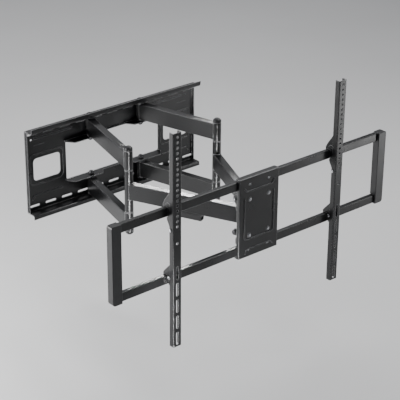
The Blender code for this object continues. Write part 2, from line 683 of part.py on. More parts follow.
def hook_outlines():
    """The hook over the upper rail and the catch over the lower rail, in Y and Z."""
    behind = RAIL_Y[1] + 0.0006
    ahead = RAIL_Y[0] - 0.0008
    upper_top = FRAME_Z + RAIL_OFFSET + RAIL_HEIGHT / 2 + 0.0006
    lower_top = FRAME_Z - RAIL_OFFSET + RAIL_HEIGHT / 2 + 0.0006
    root = BRACKET_Y[1] - 0.004
    hook = [(root, 0.184), (BRACKET_Y[1], 0.173), (-0.6700, 0.160), (-0.6590, 0.145), (-0.6515, 0.131)]
    hook += [(-0.6515, 0.110), (behind, 0.107), (behind, upper_top), (ahead, upper_top)]
    hook += [(ahead, 0.0982), (-0.6675, 0.0982), (-0.6675, 0.0900), (-0.6770, 0.0740), (root, 0.0620)]
    catch = [(root, -0.038), (BRACKET_Y[1], -0.043), (-0.6710, -0.051), (-0.6590, -0.064), (-0.6515, -0.073)]
    catch += [(-0.6515, -0.088), (behind, -0.091), (behind, lower_top), (ahead, lower_top)]
    catch += [(ahead, -0.100), (root, -0.110)]
    radii = [0, 0.006, 0.008, 0.008, 0.004, 0.0015, 0.001, 0.002, 0.002, 0.003, 0]
    hook_radii = radii[:9] + [0.001, 0.0015, 0.004, 0.004, 0]
    return rounded(hook, hook_radii, 2), rounded(catch, radii, 2)


def screen_bracket(body, x, hand, paint, steel):
    front, back = BRACKET_Y
    half = BRACKET_HALF_WIDTH
    inner = half - BRACKET_SHEET
    web_back = front + BRACKET_SHEET
    section = [(x - half, back), (x - half, front), (x + half, front), (x + half, back)]
    section += [(x + inner, back), (x + inner, web_back), (x - inner, web_back), (x - inner, back)]
    channel = prism(rounded(section, [0, 0.003, 0.003, 0, 0, 0.001, 0.001, 0], 3), "z", *BRACKET_Z)
    joins = []
    for side in (-1, 1):
        ends = sorted((x + side * (half - 0.0001), x + side * (inner + 0.0001)))
        joins += [prism(outline, "x", *ends) for outline in hook_outlines()]
    bracket = union(channel, *joins)
    holes = []
    through = (front - 0.002, web_back + 0.002)
    heights = [BRACKET_HOLE_TOP - i * BRACKET_HOLE_PITCH for i in range(BRACKET_HOLES)]
    for z in [*heights, LONE_HOLE_Z]:
        holes.append(cylinder((x, z), BRACKET_HOLE_RADIUS, "y", *through, 10))
    for i in range(BRACKET_SLOTS):
        z = BRACKET_SLOT_TOP - i * BRACKET_SLOT_PITCH
        outline = [(x + across, z + along) for along, across in slot((0, 0), BRACKET_SLOT_LENGTH, 0.0088, 5)]
        holes.append(prism(outline, "y", *through))
    sideways = (x - 0.020, x + 0.020)
    screw_holes = [cylinder(place, 0.0028, "x", *sideways, 10) for place in BRACKET_SCREWS.values()]
    bracket = cut(bracket, joined(holes), joined(screw_holes))
    add_part(f"screen_bracket_{hand}", bracket, body, paint, in_mount=True)

    start = x - half - GAP
    for name, place in BRACKET_SCREWS.items():
        profile = [(0, start - 0.0030), (0.0030, start - 0.0030), (0.0044, start - 0.0022), (0.0044, start)]
        profile += [(0.0025, start), (0.0025, x + half + 0.002), (0, x + half + 0.002)]
        add_part(f"{name}_{hand}", turned(profile, "x", place, SMALL_ROUND), body, steel, in_mount=True)


def main():
    clear_scene()
    paint = make_material("black_powder_coat", (0.016, 0.016, 0.017), 0.2, 0.42)
    plastic = make_material("black_plastic", (0.012, 0.012, 0.013), 0.0, 0.38)
    nylon = make_material("black_nylon", (0.03, 0.03, 0.032), 0.0, 0.55)
    steel = make_material("zinc_steel", (0.55, 0.56, 0.58), 1.0, 0.30)

    dark = make_material("black_steel", (0.05, 0.05, 0.052), 0.8, 0.35)

    root = make_body("wall", location=(0.0, 0.0, CENTRE_Z))
    wall_plate(root, paint)
    pivot_fasteners(root, dark)

    elbow_lean = FIRST_SPLAY + SECOND_LEAN
    second_bodies = {}
    for side, hand in ((-1, "left"), (1, "right")):
        shoulder = (side * SHOULDER[0], SHOULDER[1], 0.0)
        first = make_body(f"first_arms_{hand}", root, shoulder, side * FIRST_SPLAY)
        for level, row in ((1, "upper"), (-1, "lower")):
            first_arm(first, hand, level, row, paint)
            pivot_bush(first, hand, level, row, nylon)
        elbow(first, hand, dark, plastic)
        second = make_body(f"second_arm_body_{hand}", first, (0.0, -FIRST_ARM, 0.0), -side * elbow_lean)
        second_arm(second, hand, HEAD_PIN_RADIUS + 0.0004 if side < 0 else OPEN_PIVOT_BORE, paint)
        elbow_washers(second, hand, nylon)
        second_bodies[hand] = second
    cable_clip(second_bodies["left"], plastic)

    yoke_body = make_body("yoke_body", second_bodies["left"], (0.0, -SECOND_ARM, 0.0), -SECOND_LEAN)
    yoke(yoke_body, paint, dark)
    swivel = make_body("swivel_body", yoke_body, (HEAD_PIVOT_X, 0.0, 0.0))
    swivel_bracket(swivel, paint)
    tilt = make_body("tilt_body", swivel, (0.0, TILT_AXIS[0] - HEAD_PIVOT_Y, TILT_AXIS[1]))
    tilt_cradle(tilt, paint)
    tilt_fasteners(tilt, steel, dark)
    frame = make_body("frame_body", tilt, (0.0, PLATE_Y[0] - TILT_AXIS[0], FRAME_Z - TILT_AXIS[1]))
    screen_plate(frame, paint)
    plate_screws(frame, steel)
    rails(frame, paint)
    end_caps(frame, plastic)
    for x, hand in zip(BRACKET_X, ("left", "right")):
        bracket = make_body(f"bracket_body_{hand}", frame, (x, 0.0, 0.0))
        screen_bracket(bracket, x, hand, paint, steel)


main()
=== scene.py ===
"""Looks of the full motion TV wall mount: materials, small details, light and camera."""

import json
import math

import bmesh
import bpy
from mathutils import Matrix, Vector


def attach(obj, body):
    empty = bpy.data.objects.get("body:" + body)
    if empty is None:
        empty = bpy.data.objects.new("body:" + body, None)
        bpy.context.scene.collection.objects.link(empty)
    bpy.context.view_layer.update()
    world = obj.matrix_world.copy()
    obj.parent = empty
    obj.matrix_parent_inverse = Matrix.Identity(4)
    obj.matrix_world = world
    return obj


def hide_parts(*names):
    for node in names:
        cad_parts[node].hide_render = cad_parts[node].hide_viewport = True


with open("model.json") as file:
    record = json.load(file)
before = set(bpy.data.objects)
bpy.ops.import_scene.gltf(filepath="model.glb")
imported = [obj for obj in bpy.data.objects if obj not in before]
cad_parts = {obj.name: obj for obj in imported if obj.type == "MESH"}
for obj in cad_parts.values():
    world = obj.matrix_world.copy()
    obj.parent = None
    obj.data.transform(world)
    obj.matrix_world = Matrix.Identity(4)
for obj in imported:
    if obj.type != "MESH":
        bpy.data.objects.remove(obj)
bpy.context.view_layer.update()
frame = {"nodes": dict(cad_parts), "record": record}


# Materials.

# Sockets of the Mix node in its colour mode.
COLOUR_A = 6
COLOUR_B = 7
COLOUR_RESULT = 2

# Cosine between the bevelled normal and the true one, on a flat face and on a crisp edge.
FLAT_COSINE = 0.99
EDGE_COSINE = 0.88
BEVEL_SAMPLES = 6

# The light patches of moulded plastic are this much lighter than the dark ones.
PLASTIC_LIGHT_SHARE = 1.6


def new_material(name):
    material = bpy.data.materials.new(name)
    material.use_nodes = True
    nodes = material.node_tree.nodes
    return material, nodes, material.node_tree.links, nodes["Principled BSDF"]


def noise_node(nodes, links, coords, scale, detail=3.0, roughness=0.55, stretch=None):
    noise = nodes.new("ShaderNodeTexNoise")
    noise.inputs["Scale"].default_value = scale
    noise.inputs["Detail"].default_value = detail
    noise.inputs["Roughness"].default_value = roughness
    source = coords
    if stretch:
        mapping = nodes.new("ShaderNodeMapping")
        mapping.inputs["Scale"].default_value = stretch
        links.new(coords, mapping.inputs["Vector"])
        source = mapping.outputs["Vector"]
    links.new(source, noise.inputs["Vector"])
    return noise.outputs["Fac"]


def ramp_node(nodes, links, source, stops):
    ramp = nodes.new("ShaderNodeValToRGB")
    elements = ramp.color_ramp.elements
    for element, (place, value) in zip(elements, stops):
        element.position = place
        colour = value if isinstance(value, tuple) else (value, value, value)
        element.color = (*colour, 1.0)
    links.new(source, ramp.inputs["Fac"])
    return ramp.outputs["Color"]


def mix_node(nodes, links, factor, first, second, kind="MIX"):
    mix = nodes.new("ShaderNodeMix")
    mix.data_type = "RGBA"
    mix.blend_type = kind
    sockets = (mix.inputs["Factor"], mix.inputs[COLOUR_A], mix.inputs[COLOUR_B])
    for socket, value in zip(sockets, (factor, first, second)):
        if isinstance(value, float):
            socket.default_value = value
        elif isinstance(value, tuple):
            socket.default_value = (*value, 1.0)
        else:
            links.new(value, socket)
    return mix.outputs[COLOUR_RESULT]


def bump_node(nodes, links, height, strength, distance, normal):
    bump = nodes.new("ShaderNodeBump")
    bump.inputs["Strength"].default_value = strength
    bump.inputs["Distance"].default_value = distance
    links.new(height, bump.inputs["Height"])
    links.new(normal, bump.inputs["Normal"])
    return bump.outputs["Normal"]


def edge_mask(nodes, links, radius):
    """1 on crisp edges and 0 on flat faces, and the normal that rounds those edges."""
    bevel = nodes.new("ShaderNodeBevel")
    bevel.samples = BEVEL_SAMPLES
    bevel.inputs["Radius"].default_value = radius
    geometry = nodes.new("ShaderNodeNewGeometry")
    dot = nodes.new("ShaderNodeVectorMath")
    dot.operation = "DOT_PRODUCT"
    links.new(bevel.outputs["Normal"], dot.inputs[0])
    links.new(geometry.outputs["Normal"], dot.inputs[1])
    spread = nodes.new("ShaderNodeMapRange")
    spread.inputs["From Min"].default_value = FLAT_COSINE
    spread.inputs["From Max"].default_value = EDGE_COSINE
    links.new(dot.outputs["Value"], spread.inputs["Value"])
    return spread.outputs["Result"], bevel.outputs["Normal"]


def coated_metal(name, dark, light, roughness, grain, edge, edge_radius):
    """Black coating on metal: orange peel, fine grain, faint dust, and a painted highlight: crisp edges
    are painted a light grey.
    """
    material, nodes, links, shader = new_material(name)
    coords = nodes.new("ShaderNodeTexCoord").outputs["Object"]
    mottle = noise_node(nodes, links, coords, scale=14.0, detail=4.0)
    peel = noise_node(nodes, links, coords, scale=900.0, detail=2.0, roughness=0.4)
    fine = noise_node(nodes, links, coords, scale=2600.0, detail=2.0, roughness=0.6)
    base = ramp_node(nodes, links, mottle, [(0.3, dark), (0.75, light)])
    speck = ramp_node(nodes, links, fine, [(0.42, 0.75), (0.66, 1.35)])
    base = mix_node(nodes, links, 0.6, base, speck, "MULTIPLY")
    edges, soft_normal = edge_mask(nodes, links, edge_radius)
    # Painted highlight: crisp edges are painted in the light edge colour, where they would catch the
    # light.
    base = mix_node(nodes, links, edges, base, edge)
    links.new(base, shader.inputs["Base Color"])
    rough = ramp_node(nodes, links, mottle, [(0.25, roughness - 0.05), (0.75, roughness + 0.06)])
    links.new(rough, shader.inputs["Roughness"])
    shader.inputs["Metallic"].default_value = 0.0
    shader.inputs["IOR"].default_value = 1.55
    shader.inputs["Specular IOR Level"].default_value = 0.36
    height = mix_node(nodes, links, 0.45, peel, fine)
    normal = bump_node(nodes, links, height, strength=grain, distance=0.0004, normal=soft_normal)
    links.new(normal, shader.inputs["Normal"])
    return material


def moulded_plastic(name, colour, roughness, grain):
    """Moulded black plastic with a spark-eroded grain."""
    material, nodes, links, shader = new_material(name)
    coords = nodes.new("ShaderNodeTexCoord").outputs["Object"]
    broad = noise_node(nodes, links, coords, scale=30.0)
    fine = noise_node(nodes, links, coords, scale=1800.0, roughness=0.6)
    light = tuple(channel * PLASTIC_LIGHT_SHARE for channel in colour)
    base = ramp_node(nodes, links, broad, [(0.3, colour), (0.8, light)])
    speck = ramp_node(nodes, links, fine, [(0.4, 0.8), (0.7, 1.25)])
    base = mix_node(nodes, links, 0.5, base, speck, "MULTIPLY")
    links.new(base, shader.inputs["Base Color"])
    rough = ramp_node(nodes, links, fine, [(0.3, roughness - 0.05), (0.7, roughness + 0.08)])
    links.new(rough, shader.inputs["Roughness"])
    shader.inputs["IOR"].default_value = 1.5
    soft_normal = edge_mask(nodes, links, radius=0.0008)[1]
    normal = bump_node(nodes, links, fine, strength=grain, distance=0.0003, normal=soft_normal)
    links.new(normal, shader.inputs["Normal"])
    return material


def bare_metal(name, dark, light, roughness):
    """Plated or blackened steel with fine turning marks."""
    material, nodes, links, shader = new_material(name)
    coords = nodes.new("ShaderNodeTexCoord").outputs["Object"]
    broad = noise_node(nodes, links, coords, scale=60.0, detail=4.0)
    marks = noise_node(
        nodes, links, coords, scale=900.0, detail=2.0, roughness=0.5, stretch=(1.0, 0.1, 1.0)
    )
    base = ramp_node(nodes, links, broad, [(0.3, dark), (0.75, light)])
    links.new(base, shader.inputs["Base Color"])
    shader.inputs["Metallic"].default_value = 1.0
    rough = ramp_node(nodes, links, marks, [(0.3, roughness - 0.06), (0.7, roughness + 0.10)])
    links.new(rough, shader.inputs["Roughness"])
    soft_normal = edge_mask(nodes, links, radius=0.0005)[1]
    normal = bump_node(nodes, links, marks, strength=0.12, distance=0.0002, normal=soft_normal)
    links.new(normal, shader.inputs["Normal"])
    return material


LOOKS = {
    "black_powder_coat": coated_metal(
        "powder_coat",
        dark=(0.0060, 0.0062, 0.0067),
        light=(0.0105, 0.0107, 0.0115),
        roughness=0.30,
        grain=0.10,
        # Painted highlight: the light grey painted on crisp edges.
        edge=(0.52, 0.52, 0.53),
        edge_radius=0.0015,
    ),
    "black_plastic": moulded_plastic(
        "moulded_black", colour=(0.011, 0.011, 0.012), roughness=0.34, grain=0.10
    ),
    "black_nylon": moulded_plastic(
        "black_nylon", colour=(0.028, 0.028, 0.030), roughness=0.50, grain=0.12
    ),
    "zinc_steel": bare_metal(
        "bright_zinc", dark=(0.48, 0.49, 0.51), light=(0.66, 0.67, 0.69), roughness=0.26
    ),
    "black_steel": bare_metal(
        "blackened_steel", dark=(0.055, 0.055, 0.058), light=(0.09, 0.09, 0.094), roughness=0.34
    ),
}

finishes = {part["node"]: part["material_slot"] for part in frame["record"]["subparts"]}
for name, node in frame["nodes"].items():
    for material_slot in node.material_slots:
        material_slot.material = LOOKS[finishes[name]]


# Places and sizes, in metres. Heights count from the mount's middle height, MIDDLE_Z in the frame.

MIDDLE_Z = -0.100
SHOULDER = (0.0984, -0.017)
FIRST_ARM = 0.2939
FIRST_SPLAY = math.radians(14.36)
SECOND_ARM = 0.3738
SECOND_LEAN = math.radians(23.88)
BARREL_RADIUS = 0.0128
WALL_FACE_Y = -0.0025
TRAY_FACE_Y = -0.6785
FRAME_Z = 0.010
RAIL_OFFSET = 0.102
TILT_AXIS = (-0.657, -0.0335)

# Details start this far inside the face that they sit on.
SINK = 0.0002
BEAD_RADIUS = 0.0006
MERGE_DISTANCE = 1e-6
SMOOTH_ANGLE = math.radians(35)

SIDES = ((-1, "left"), (1, "right"))
ROWS = ((1, "upper"), (-1, "lower"))


# Tools that make small pieces in mesh code.


def add_piece(name, bm, body, slot, place=None):
    """Makes a piece from a mesh, in the finish of a slot, riding on a body."""
    mesh = bpy.data.meshes.new(name)
    bmesh.ops.recalc_face_normals(bm, faces=bm.faces)
    if place is not None:
        bmesh.ops.transform(bm, matrix=place, verts=bm.verts)
    bm.to_mesh(mesh)
    bm.free()
    mesh.set_sharp_from_angle(angle=SMOOTH_ANGLE)
    piece = bpy.data.objects.new(name, mesh)
    bpy.context.scene.collection.objects.link(piece)
    mesh.materials.append(LOOKS[slot])
    for polygon in mesh.polygons:
        polygon.use_smooth = True
    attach(piece, body)
    return piece


def bridge(bm, rings, closed=False):
    """Joins each ring of points to the next one with quads, and the last to the first if closed."""
    followers = rings[1:] + rings[:1] if closed else rings[1:]
    for one, two in zip(rings, followers):
        size = len(one)
        for j in range(size):
            k = (j + 1) % size
            bm.faces.new((one[j], one[k], two[k], two[j]))


def bridge_and_cap(bm, rings):
    """Joins the rings in a row and closes both ends."""
    bridge(bm, rings)
    bm.faces.new(rings[0])
    bm.faces.new(rings[-1])


def turned_point(axis, centre, radius, turn, along):
    """A point at a radius and turn round an axis through centre, and along it."""
    u, v = radius * math.cos(turn), radius * math.sin(turn)
    if axis == "z":
        return (centre[0] + u, centre[1] + v, along)
    if axis == "y":
        return (centre[0] + u, along, centre[1] + v)
    return (along, centre[0] + u, centre[1] + v)


def lathe(bm, profile, centre, axis="z", segments=48):
    """Turns a closed profile of (radius, height) points round an axis through centre."""
    rings = []
    for i in range(segments):
        turn = 2 * math.pi * i / segments
        points = [turned_point(axis, centre, r, turn, height) for r, height in profile]
        rings.append([bm.verts.new(point) for point in points])
    bridge(bm, rings, closed=True)
    bmesh.ops.remove_doubles(bm, verts=bm.verts, dist=MERGE_DISTANCE)


CORNER_STEPS = 5


def round_corners(points, radius, closed=False):
    """The path with each inner corner replaced by an arc."""
    path = []
    count = len(points)
    for i, point in enumerate(points):
        here = Vector(point)
        if not closed and i in (0, count - 1):
            path.append(here)
            continue
        before = (Vector(points[i - 1]) - here).normalized()
        after = (Vector(points[(i + 1) % count]) - here).normalized()
        half_angle = before.angle(after) / 2
        reach = radius / math.tan(half_angle)
        centre = here + (before + after).normalized() * radius / math.sin(half_angle)
        start, end = here + before * reach - centre, here + after * reach - centre
        turn = start.angle_signed(end)
        for step in range(CORNER_STEPS + 1):
            path.append(centre + Matrix.Rotation(-turn * step / CORNER_STEPS, 2) @ start)
    return path


def path_normals(path, closed):
    """The unit normal at each point of a flat path."""
    last = len(path) - 1
    normals = []
    for i in range(len(path)):
        if closed:
            along = path[0 if i == last else i + 1] - path[i - 1]
        else:
            along = path[min(i + 1, last)] - path[max(i - 1, 0)]
        normals.append(Vector((-along.y, along.x)).normalized())
    return normals


# Section of a pressed ridge, as shares of its width and height, and where its sunk points are.
RIDGE_SECTION = [
    (0.50, 0.0),
    (0.45, 0.55),
    (0.37, 0.90),
    (0.25, 1.0),
    (-0.25, 1.0),
    (-0.37, 0.90),
    (-0.45, 0.55),
    (-0.50, 0.0),
]
RIDGE_ROOTS = (-0.4, 0.4)


def ridge(bm, points, width, height, face_y, closed=False, corner=0.0):
    """A pressed ridge along a path of (x, z) points on a face that looks along -Y."""
    path = round_corners(points, corner, closed)
    rings = []
    for point, across in zip(path, path_normals(path, closed)):
        ring = []
        for sideways, rise in RIDGE_SECTION:
            place = point + across * width * sideways
            ring.append(bm.verts.new((place.x, face_y - height * rise, place.y + MIDDLE_Z)))
        for sideways in RIDGE_ROOTS:
            place = point + across * width * sideways
            ring.append(bm.verts.new((place.x, face_y + SINK, place.y + MIDDLE_Z)))
        rings.append(ring)
    bridge(bm, rings, closed)
    if closed:
        return
    raised = len(RIDGE_SECTION)
    for ring, direction in ((rings[0], path[0] - path[1]), (rings[-1], path[-1] - path[-2])):
        tip = direction.normalized() * width * 0.5
        middle = sum((v.co for v in ring[:raised]), Vector()) / raised
        end = bm.verts.new((middle.x + tip.x, face_y + SINK, middle.z + tip.y))
        for j in range(len(ring)):
            bm.faces.new((ring[j], ring[(j + 1) % len(ring)], end))


RIM_STEPS = 4


def rim(bm, path, width, height):
    """A small round ridge on the wall plate, along a closed loop of points."""
    rings = []
    for point, across in zip(path, path_normals(path, closed=True)):
        ring = []
        for step in range(RIM_STEPS + 1):
            turn = math.pi * step / RIM_STEPS
            place = point + across * (width / 2) * math.cos(turn)
            y = WALL_FACE_Y - height * math.sin(turn) + SINK
            ring.append(bm.verts.new((place.x, y, place.y + MIDDLE_Z)))
        rings.append(ring)
    bridge(bm, rings, closed=True)


RIBBON_SIDES = 8
RIBBON_TIP = 0.35
UP = Vector((0, 0, 1))
NEARLY_UPRIGHT = 0.9


def ribbon(bm, points, radius, ripple=0.0, pitch=1.0):
    """A round bead along 3D points, its radius rippling the way a weld does, closed at both ends."""
    last = len(points) - 1
    rings = []
    travelled = 0.0
    for i, point in enumerate(points):
        along = (points[min(i + 1, last)] - points[max(i - 1, 0)]).normalized()
        if i:
            travelled += (points[i] - points[i - 1]).length
        if abs(along.dot(UP)) < NEARLY_UPRIGHT:
            side = along.cross(UP).normalized()
        else:
            side = along.orthogonal().normalized()
        other = along.cross(side)
        size = radius * (1 + ripple * math.sin(2 * math.pi * travelled / pitch))
        if i in (0, last):
            size *= RIBBON_TIP
        ring = []
        for j in range(RIBBON_SIDES):
            turn = 2 * math.pi * j / RIBBON_SIDES
            ring.append(bm.verts.new(point + size * (side * math.cos(turn) + other * math.sin(turn))))
        rings.append(ring)
    bridge_and_cap(bm, rings)


HEAD_SEGMENTS = 36
# Outside of a low round head, as shares of its radius and height, and the levels of its socket.
HEAD_PROFILE = [(0.97, 0.0), (1.0, 0.12), (1.0, 0.55), (0.96, 0.78), (0.86, 0.94), (0.72, 1.0)]
SOCKET_LEVELS = (1.0, 0.35)
HEX_SECTOR = math.pi / 6


def socket_head(bm, radius, height, socket, centre, base, out, axis="z"):
    """A low round head with a hexagon socket, from base outwards along the axis."""
    turns = [2 * math.pi * i / HEAD_SEGMENTS for i in range(HEAD_SEGMENTS)]

    def ring(radii, share):
        along = base + out * share * height
        return [
            bm.verts.new(turned_point(axis, centre, r, turn, along)) for r, turn in zip(radii, turns)
        ]

    rings = [ring([radius * width] * HEAD_SEGMENTS, share) for width, share in HEAD_PROFILE]
    hexagon_radii = [
        socket * math.cos(HEX_SECTOR) / math.cos(turn % (2 * HEX_SECTOR) - HEX_SECTOR)
        for turn in turns
    ]
    rings += [ring(hexagon_radii, share) for share in SOCKET_LEVELS]
    bridge_and_cap(bm, rings)


NUT_CHAMFER = 0.0008
# Each corner of a nut is two points, turned this far to either side and drawn in a little.
NUT_CORNER_TURN = 0.10
NUT_CORNER_SHARE = 0.985


def hexagon(bm, radius, low, high, centre):
    """A hexagon prism along Z with blunt corners and a chamfer at both ends."""
    small = radius - NUT_CHAMFER
    sections = [(low, small), (low + NUT_CHAMFER, radius), (high - NUT_CHAMFER, radius), (high, small)]
    turns = [
        math.pi / 3 * i + turn for i in range(6) for turn in (-NUT_CORNER_TURN, NUT_CORNER_TURN)
    ]
    rings = []
    for z, size in sections:
        size *= NUT_CORNER_SHARE
        rings.append([bm.verts.new(turned_point("z", centre, size, turn, z)) for turn in turns])
    bridge_and_cap(bm, rings)


# Wall plate: pressed ridges round the side windows and near the slots, and rims round the slots.

# The path and shape of each ridge in the right-hand half. The left-hand half mirrors them.
WALL_RIDGES = [
    (
        [(0.1925, -0.0490), (0.3150, -0.0490), (0.3150, 0.0500), (0.1925, 0.0500)],
        {"width": 0.0052, "height": 0.0017, "closed": True, "corner": 0.014},
    ),
    ([(0.156, 0.0995), (0.299, 0.0995)], {"width": 0.0020, "height": 0.0008}),
    ([(0.156, 0.1045), (0.299, 0.1045)], {"width": 0.0020, "height": 0.0008}),
    (
        [(0.200, -0.0840), (0.3045, -0.0840), (0.3110, -0.0975)],
        {"width": 0.0050, "height": 0.0017, "corner": 0.006},
    ),
    ([(0.262, 0.0800), (0.297, 0.0800)], {"width": 0.0030, "height": 0.0009}),
]


def wall_ridges():
    bm = bmesh.new()
    for side, _ in SIDES:
        for path, shape in WALL_RIDGES:
            ridge(bm, [(side * x, z) for x, z in path], face_y=WALL_FACE_Y, **shape)
    add_piece("wall_plate_ridges", bm, "wall", "black_powder_coat")


SLOTS_EACH_WAY = 5
SLOT_PITCH = 0.061
SLOT_ROW_Z = 0.118
SLOT_HALF_STRAIGHT = 0.016
SLOT_RIM_RADIUS = 0.0044
SLOT_END_STEPS = 8


def slot_path(x, z):
    """The loop round a slot in the wall plate: two half circles joined by straight lines."""
    path = []
    for end in (1, -1):
        for step in range(SLOT_END_STEPS + 1):
            turn = math.pi * (step / SLOT_END_STEPS - 0.5)
            across = SLOT_HALF_STRAIGHT + SLOT_RIM_RADIUS * math.cos(turn)
            path.append(Vector((x + end * across, z + end * SLOT_RIM_RADIUS * math.sin(turn))))
    return path


def slot_rims():
    """A thin raised burr round each mounting slot."""
    bm = bmesh.new()
    for row in (-1, 1):
        for i in range(-SLOTS_EACH_WAY, SLOTS_EACH_WAY + 1):
            path = slot_path(i * SLOT_PITCH, row * SLOT_ROW_Z)
            rim(bm, path, width=0.0014, height=0.0005)
    add_piece("slot_rims", bm, "wall", "black_powder_coat")


# Shoulders: bolt heads, dome nuts and washers. Heights are those of the upper shoulders.

BOLT_HEAD_Z = 0.1361
BOLT_SHANK = [(0.0, 0.0565), (0.0052, 0.0565), (0.0059, 0.0580), (0.0059, 0.1371), (0.0, 0.1371)]
NUT_RADIUS = 0.0098
NUT_Z = (0.0575, 0.0635)
NUT_COLLAR = [(0.0, 0.0585), (0.0082, 0.0585), (0.0082, 0.0567)]
NUT_DOME_Z = 0.0567
NUT_DOME_RADIUS = 0.0074
NUT_DOME_HEIGHT = 0.0058
NUT_DOME_TURNS = (0.15, 0.45, 0.75, 1.05, 1.3)
NUT_TIP = (0.0, 0.0508)
WASHER = [
    (0.0063, 0.1289),
    (0.0114, 0.1289),
    (0.0118, 0.1294),
    (0.0118, 0.1322),
    (0.0114, 0.1328),
    (0.0063, 0.1328),
]


def mirrored_profile(profile, level):
    """A (radius, height) profile at the upper or the lower level, in world heights."""
    return [(r, level * z + MIDDLE_Z) for r, z in profile]


def shoulder_bolt(name, centre, level):
    bm = bmesh.new()
    base = MIDDLE_Z + level * BOLT_HEAD_Z
    socket_head(bm, radius=0.0094, height=0.0044, socket=0.0032, centre=centre, base=base, out=level)
    lathe(bm, mirrored_profile(BOLT_SHANK, level), centre, segments=32)
    head = add_piece(f"{name}_head", bm, "wall", "black_steel")
    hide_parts(name)


def shoulder_nut(name, centre, level):
    bm = bmesh.new()
    low, high = sorted(level * z + MIDDLE_Z for z in NUT_Z)
    hexagon(bm, NUT_RADIUS, low, high, centre)
    dome = [
        (NUT_DOME_RADIUS * math.cos(turn), NUT_DOME_Z - NUT_DOME_HEIGHT * math.sin(turn))
        for turn in NUT_DOME_TURNS
    ]
    profile = NUT_COLLAR + dome + [NUT_TIP]
    lathe(bm, mirrored_profile(profile, level), centre, segments=32)
    nut = add_piece(f"{name}_dome", bm, "wall", "black_steel")
    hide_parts(name)


def shoulder_fasteners():
    for level, row in ROWS:
        for side, hand in SIDES:
            centre = (side * SHOULDER[0], SHOULDER[1])
            shoulder_bolt(f"pivot_bolt_{row}_{hand}", centre, level)
            shoulder_nut(f"pivot_nut_{row}_{hand}", centre, level)
            bm = bmesh.new()
            lathe(bm, mirrored_profile(WASHER, level), centre)
            add_piece(f"shoulder_washer_{row}_{hand}", bm, "wall", "black_nylon")


# Arms: smooth knuckles, welds and elbow caps.

KNUCKLE_RADIUS = BARREL_RADIUS + 0.00012
KNUCKLE_LIP = 0.0008
KNUCKLE_DEPTH = 0.0030
FIRST_BARREL_Z = (0.0687, 0.1285)
FIRST_TUBE_Z = (0.0730, 0.1250)
ELBOW_SLEEVE_Z = 0.066
HEAD_BARREL_Z = 0.0288
SECOND_TUBE_Z = 0.025

WELD_OFFSET = 0.0004
WELD_REACH = 1.25
WELD_STEPS = 40

ELBOW_CAP_BASE = 0.1288
ELBOW_CAP_RADIUS = 0.0128
# The lower part of an elbow cap, as (radius, height over the base).
ELBOW_CAP_SKIRT = [
    (0.0, 0.0),
    (0.0124, 0.0),
    (0.0128, 0.0005),
    (0.0128, 0.0040),
    (0.0122, 0.0043),
    (0.0122, 0.0048),
    (0.0126, 0.0051),
]
# Its domed top, as (share of the radius, height over the base).
ELBOW_CAP_DOME = [
    (0.98, 0.0062),
    (0.90, 0.0080),
    (0.76, 0.0099),
    (0.62, 0.0116),
    (0.44, 0.0130),
    (0.22, 0.0137),
    (0.0, 0.0139),
]


def first_arm_place(side):
    shoulder = Vector((side * SHOULDER[0], SHOULDER[1], MIDDLE_Z))
    return Matrix.Translation(shoulder) @ Matrix.Rotation(side * FIRST_SPLAY, 4, "Z")


def second_arm_place(side):
    elbow = first_arm_place(side) @ Vector((0, -FIRST_ARM, 0))
    return Matrix.Translation(elbow) @ Matrix.Rotation(-side * SECOND_LEAN, 4, "Z")


def knuckle(bm, y, low, high):
    """The smooth outside of a barrel that stands upright at y along the arm."""
    inner, edge = KNUCKLE_RADIUS - KNUCKLE_DEPTH, KNUCKLE_RADIUS - KNUCKLE_LIP
    profile = [(inner, low), (edge, low), (KNUCKLE_RADIUS, low + KNUCKLE_LIP)]
    profile += [(KNUCKLE_RADIUS, high - KNUCKLE_LIP), (edge, high), (inner, high)]
    lathe(bm, profile, (0.0, y), segments=64)


def weld_arc(bm, y, z, towards):
    """A weld round a knuckle where the tube's top or bottom face meets it."""
    points = []
    for step in range(WELD_STEPS + 1):
        turn = (step / WELD_STEPS * 2 - 1) * WELD_REACH
        radius = BARREL_RADIUS + WELD_OFFSET
        points.append(Vector((radius * math.sin(turn), y + towards * radius * math.cos(turn), z)))
    ribbon(bm, points, radius=0.0013, ripple=0.16, pitch=0.0019)


def first_arm_details(side, hand, level, row):
    bm = bmesh.new()
    low, high = sorted(level * z for z in FIRST_BARREL_Z)
    for y in (0.0, -FIRST_ARM):
        knuckle(bm, y, low, high)
    for z in FIRST_TUBE_Z:
        weld_arc(bm, 0.0, level * z, -1)
        weld_arc(bm, -FIRST_ARM, level * z, 1)
    name = f"first_arm_{row}_{hand}_knuckles"
    add_piece(name, bm, f"first_arms_{hand}", "black_powder_coat", first_arm_place(side))


def second_arm_details(side, hand):
    bm = bmesh.new()
    knuckle(bm, 0.0, -ELBOW_SLEEVE_Z, ELBOW_SLEEVE_Z)
    knuckle(bm, -SECOND_ARM, -HEAD_BARREL_Z, HEAD_BARREL_Z)
    for z in (-SECOND_TUBE_Z, SECOND_TUBE_Z):
        weld_arc(bm, 0.0, z, -1)
        weld_arc(bm, -SECOND_ARM, z, 1)
    name = f"second_arm_{hand}_knuckles"
    add_piece(name, bm, f"second_arm_body_{hand}", "black_powder_coat", second_arm_place(side))


def elbow_cap(side, hand, level, end_name):
    bm = bmesh.new()
    profile = ELBOW_CAP_SKIRT + [(ELBOW_CAP_RADIUS * share, rise) for share, rise in ELBOW_CAP_DOME]
    profile = [(r, level * (ELBOW_CAP_BASE + rise)) for r, rise in profile]
    lathe(bm, profile, (0.0, -FIRST_ARM), segments=56)
    name = f"elbow_cap_{end_name}_{hand}"
    body = f"first_arms_{hand}"
    piece = add_piece(f"{name}_dome", bm, body, "black_plastic", first_arm_place(side))
    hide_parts(name)


